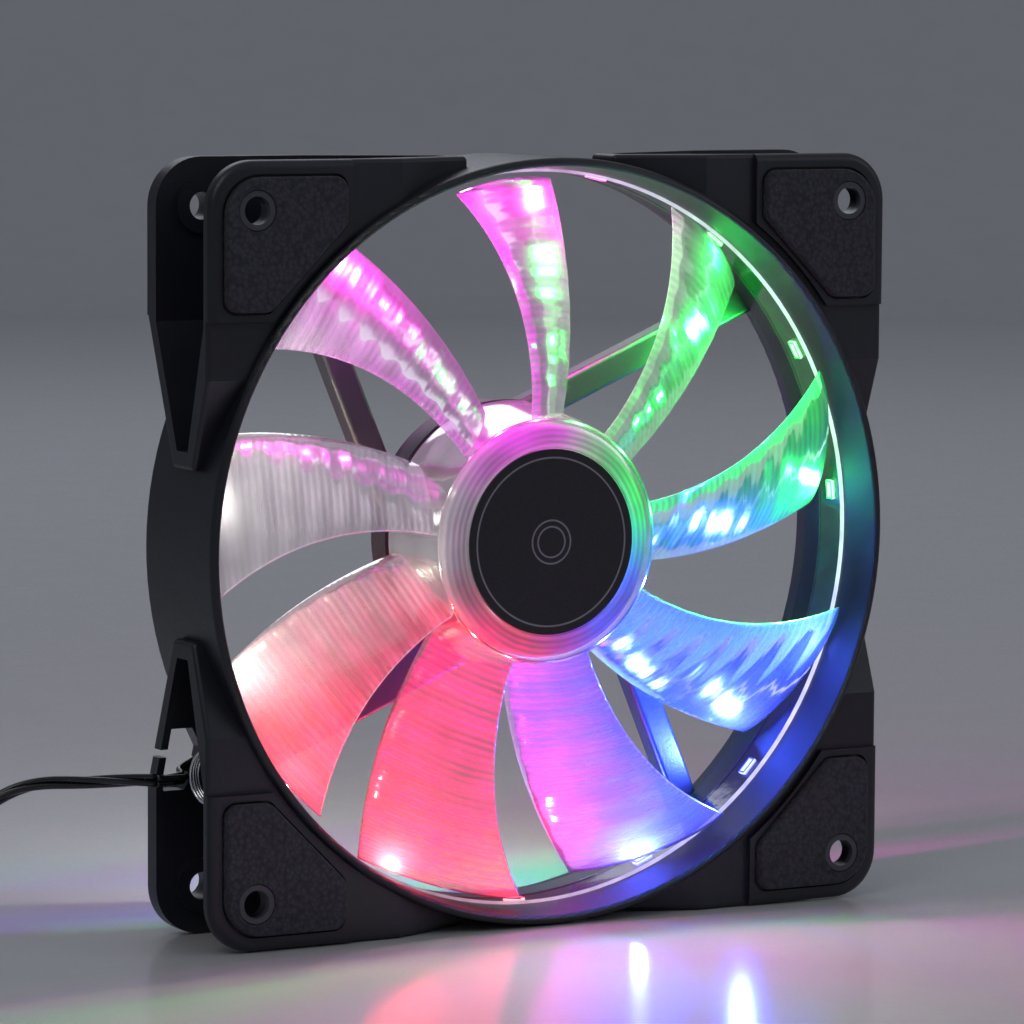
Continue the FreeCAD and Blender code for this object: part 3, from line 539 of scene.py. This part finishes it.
def on_strut(distance, y):
    return (distance * math.cos(strut_dir) - STRUT_SIDE * math.sin(strut_dir), y,
            AXIS_Z + distance * math.sin(strut_dir) + STRUT_SIDE * math.cos(strut_dir))


lead_route = [on_strut(0.0137, 0.0101), on_strut(0.045, 0.0101), on_strut(0.0645, 0.0101),
              (-0.0557, 0.0062, 0.0249), (-0.0568, 0.0048, 0.0248), EXIT]
lead_line = even(spline_points("leads", lead_route), 0.0005)
verts, faces = strands(lead_line, 3, 0.00056, 0.00048, 0.048)
leads = mesh_piece("motor_lead_strands", verts, faces, MAT["jacket"], HOUSING)
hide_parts("motor_leads")

# ---------------------------------------------------------------- fine lead in the pocket
LOOP_CENTRE = Vector((-0.0552, -0.0026, AXIS_Z - 0.0342))
LOOP_R, LOOP_WIRE, LOOP_TURNS, LOOP_PITCH = 0.0043, 0.00024, 4, 0.00052
loop_axis = Vector((math.cos(math.radians(17)), math.sin(math.radians(17)), 0.0))
loop_up = Vector((0.0, 0.0, 1.0))
loop_side = loop_axis.cross(loop_up)
FEED = [Vector((-0.0533, -0.0062, AXIS_Z - 0.0340)), Vector((-0.04915, -0.0032, AXIS_Z - 0.03155))]
points = []
for i in range(LOOP_TURNS * 24 + 1):
    a = 2 * math.pi * i / 24 - math.pi / 2
    along = (i / 24 - LOOP_TURNS / 2) * LOOP_PITCH
    wob = 1 + 0.012 * math.sin(i * 0.7)
    outward = loop_up * math.sin(a) + loop_side * math.cos(a)
    points.append(LOOP_CENTRE + loop_axis * along + outward * (LOOP_R * wob))
verts, faces = [], []
tube(points, LOOP_WIRE, 10, verts, faces)
tube(FEED, LOOP_WIRE, 10, verts, faces)
loop = mesh_piece("lead_loop_wire", verts, faces, MAT["bare_wire"], HOUSING)
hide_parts("lead_loop")

# ---------------------------------------------------------------- impeller
BLADES = 9
TIP_R = 56.5
ROOT_R = 18.7
HUB_SIDE = [(19.4, -7.8), (21.2, 5.0)]


def blade_point(r, s, side):
    """Point of the blade's section at plane radius r: s from -0.5 to 0.5 along the chord, side 1 or -1."""
    share = (r - ROOT_R) / (TIP_R - ROOT_R)
    stagger = math.radians(46.0 + (27.0 - 46.0) * share)
    chord = (10.4 + 2.0 * share) / math.sin(stagger)
    thick = 1.9 + (1.1 - 1.9) * share
    mid_y = -1.4 + 0.5 * share
    sweep = math.radians(15.0 * max(0.0, share) ** 1.4)
    bow = 1 - (2 * s) ** 2
    edge = max(0.0, 1 - (2 * s) ** 4)
    off = side * (thick / 2 * math.sqrt(edge) + 0.18 * min(1.0, 8 * (0.5 - abs(s)) + 0.4)) - 0.07 * chord * bow
    off += side * RIDGE_HEIGHT * math.sin(2 * math.pi * r / RIDGE_PITCH) * min(1.0, 6 * (0.5 - abs(s)))
    around = s * chord * math.cos(stagger) + off * math.sin(stagger)
    y = mid_y - s * chord * math.sin(stagger) + off * math.cos(stagger)
    return around, y, sweep


def on_cylinder(rho, s, side):
    """The blade's point at a true distance rho from the axis."""
    r = rho
    for _ in range(6):
        around, y, sweep = blade_point(r, s, side)
        goal = rho if rho > 0 else hub_radius(y)
        r = math.sqrt(max(1.0, goal * goal - around * around))
    around, y, sweep = blade_point(r, s, side)
    return Vector((r * math.cos(sweep) - around * math.sin(sweep), y,
                   r * math.sin(sweep) + around * math.cos(sweep)))


def hub_radius(y):
    (r0, y0), (r1, y1) = HUB_SIDE
    return r0 + (r1 - r0) * (y - y0) / (y1 - y0)


def loop_stations(count):
    """Chord stations once round the section, closer together at both edges."""
    half = [-0.5 * math.cos(math.pi * i / count) for i in range(count + 1)]
    return [(s, 1) for s in half] + [(s, -1) for s in reversed(half[1:-1])]


stations = loop_stations(22)
rows = 56
one = []
for j in range(rows + 1):
    if j == 0:
        one.append([on_cylinder(-1, s, side) for s, side in stations])
        continue
    rho = 21.6 + (TIP_R - 21.6) * j / rows
    one.append([on_cylinder(rho, s, side) for s, side in stations])
verts, faces = [], []
n = len(stations)
for b in range(BLADES):
    a = 2 * math.pi * b / BLADES
    ca, sa = math.cos(a), math.sin(a)
    base = len(verts)
    for ring_row in one:
        for p in ring_row:
            verts.append(((p.x * ca - p.z * sa) * MM, p.y * MM, AXIS_Z + (p.x * sa + p.z * ca) * MM))
    for j in range(rows):
        for k in range(n):
            p, q = base + j * n + k, base + j * n + (k + 1) % n
            faces.append((p, p + n, q + n, q))
    half_n = n // 2
    tip = base + rows * n
    for k in range(half_n):
        p, q = tip + k, tip + k + 1
        p2, q2 = tip + (n - k) % n, tip + (n - k - 1) % n
        faces.append((p, p2, q2, q) if p != p2 else (p, q2, q))
blades = mesh_piece("impeller_blades", verts, faces, MAT["blade"], ROTOR)

HUB_PROFILE = [(0.0, -9.25), (14.70, -9.25), (14.75, -9.30), (14.75, -9.62), (14.83, -9.70), (16.0, -9.70),
               (16.8, -9.62), (17.7, -9.42), (18.45, -9.08), (19.0, -8.6), (19.3, -8.15), (19.4, -7.8),
               (19.75, -5.3), (20.2, -2.1), (20.7, 1.5), (21.16, 4.75), (21.1, 4.97), (20.95, 5.0), (20.25, 5.0),
               (20.1, 4.9), (19.85, 2.7), (19.72, 2.3), (18.2, 2.2), (18.12, 2.1), (18.12, -7.95), (18.0, -8.05),
               (0.0, -8.05)]
SEGMENTS = 160
verts, faces = [], []
for r, y in HUB_PROFILE:
    for k in range(SEGMENTS):
        a = 2 * math.pi * k / SEGMENTS
        verts.append((r * math.cos(a) * MM, y * MM, AXIS_Z + r * math.sin(a) * MM))
for i in range(len(HUB_PROFILE) - 1):
    for k in range(SEGMENTS):
        p, q = i * SEGMENTS + k, i * SEGMENTS + (k + 1) % SEGMENTS
        faces.append((p, q, q + SEGMENTS, p + SEGMENTS))
hub = mesh_piece("impeller_hub", verts, faces, MAT["hub"], ROTOR)
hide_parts("impeller")
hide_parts("impeller")

# ---------------------------------------------------------------- floor, world and lights
FLOOR_R, SWEEP_R, WALL_TOP, FLOOR_Z = 1.5, 0.7, 1.6, -0.0002
SWEEP_STEPS, ROUND_STEPS = 12, 96
sweep = [(0.0, FLOOR_Z), (0.4, FLOOR_Z), (FLOOR_R, FLOOR_Z)]
for i in range(1, SWEEP_STEPS + 1):
    a = math.pi / 2 * i / SWEEP_STEPS
    sweep.append((FLOOR_R + SWEEP_R * math.sin(a), FLOOR_Z + SWEEP_R * (1 - math.cos(a))))
sweep.append((FLOOR_R + SWEEP_R, WALL_TOP))
verts, faces = [], []
for r, z in sweep:
    for k in range(ROUND_STEPS):
        a = 2 * math.pi * k / ROUND_STEPS
        verts.append((r * math.cos(a), r * math.sin(a), z))
for i in range(len(sweep) - 1):
    for k in range(ROUND_STEPS):
        p, q = i * ROUND_STEPS + k, i * ROUND_STEPS + (k + 1) % ROUND_STEPS
        faces.append((p, q, q + ROUND_STEPS, p + ROUND_STEPS))
floor_mesh = bpy.data.meshes.new("floor")
floor_mesh.from_pydata(verts, [], faces)
for face in floor_mesh.polygons:
    face.use_smooth = True
floor = bpy.data.objects.new("floor", floor_mesh)
bpy.context.collection.objects.link(floor)
floor_mesh.materials.append(plain("floor_paint", (0.60, 0.60, 0.63), 0.14, grain=2500, depth=0.0005, vary=0.015))

world = bpy.data.worlds.new("studio")
bpy.context.scene.world = world
world.use_nodes = True
world.node_tree.nodes["Background"].inputs[0].default_value = (0.80, 0.84, 0.92, 1.0)
world.node_tree.nodes["Background"].inputs[1].default_value = 0.30


def area_light(name, place, aim, size, power, colour=(1, 1, 1), size_y=None):
    data = bpy.data.lights.new(name, "AREA")
    data.shape = "RECTANGLE"
    data.size = size
    data.size_y = size_y or size
    data.energy = power
    data.color = colour
    obj = bpy.data.objects.new(name, data)
    bpy.context.collection.objects.link(obj)
    obj.location = place
    obj.rotation_mode = "QUATERNION"
    obj.rotation_quaternion = (Vector(aim) - Vector(place)).to_track_quat("-Z", "Z")
    obj.visible_camera = False
    return obj


area_light("key", (-0.75, -0.55, 0.95), (0, 0, 0.06), 0.55, 1.9, (1.0, 0.98, 0.96))
area_light("fill", (0.85, -0.70, 0.55), (0, 0, 0.06), 0.7, 1.1, (0.90, 0.94, 1.0))
area_light("rim", (0.25, 0.85, 0.75), (0, 0, 0.06), 0.6, 2.0, (0.88, 0.92, 1.0))

GLOW_RING_R, GLOW_LENGTH, GLOW_WIDTH = 0.0570, 0.0024, 0.0012
POWER = {"green": 0.070, "pink": 0.060, "white": 0.014, "red": 0.055, "blue": 0.130}
for i in range(3 * len(LED_ORDER)):
    name = LED_ORDER[i // 3]
    a = math.radians(LED_PHASE + LED_STEP * i)
    place = (GLOW_RING_R * math.cos(a), 0.0, AXIS_Z + GLOW_RING_R * math.sin(a))
    area_light("glow_%d" % i, place, (0, 0, AXIS_Z), GLOW_LENGTH, POWER[name], LIGHTS[name], GLOW_WIDTH)
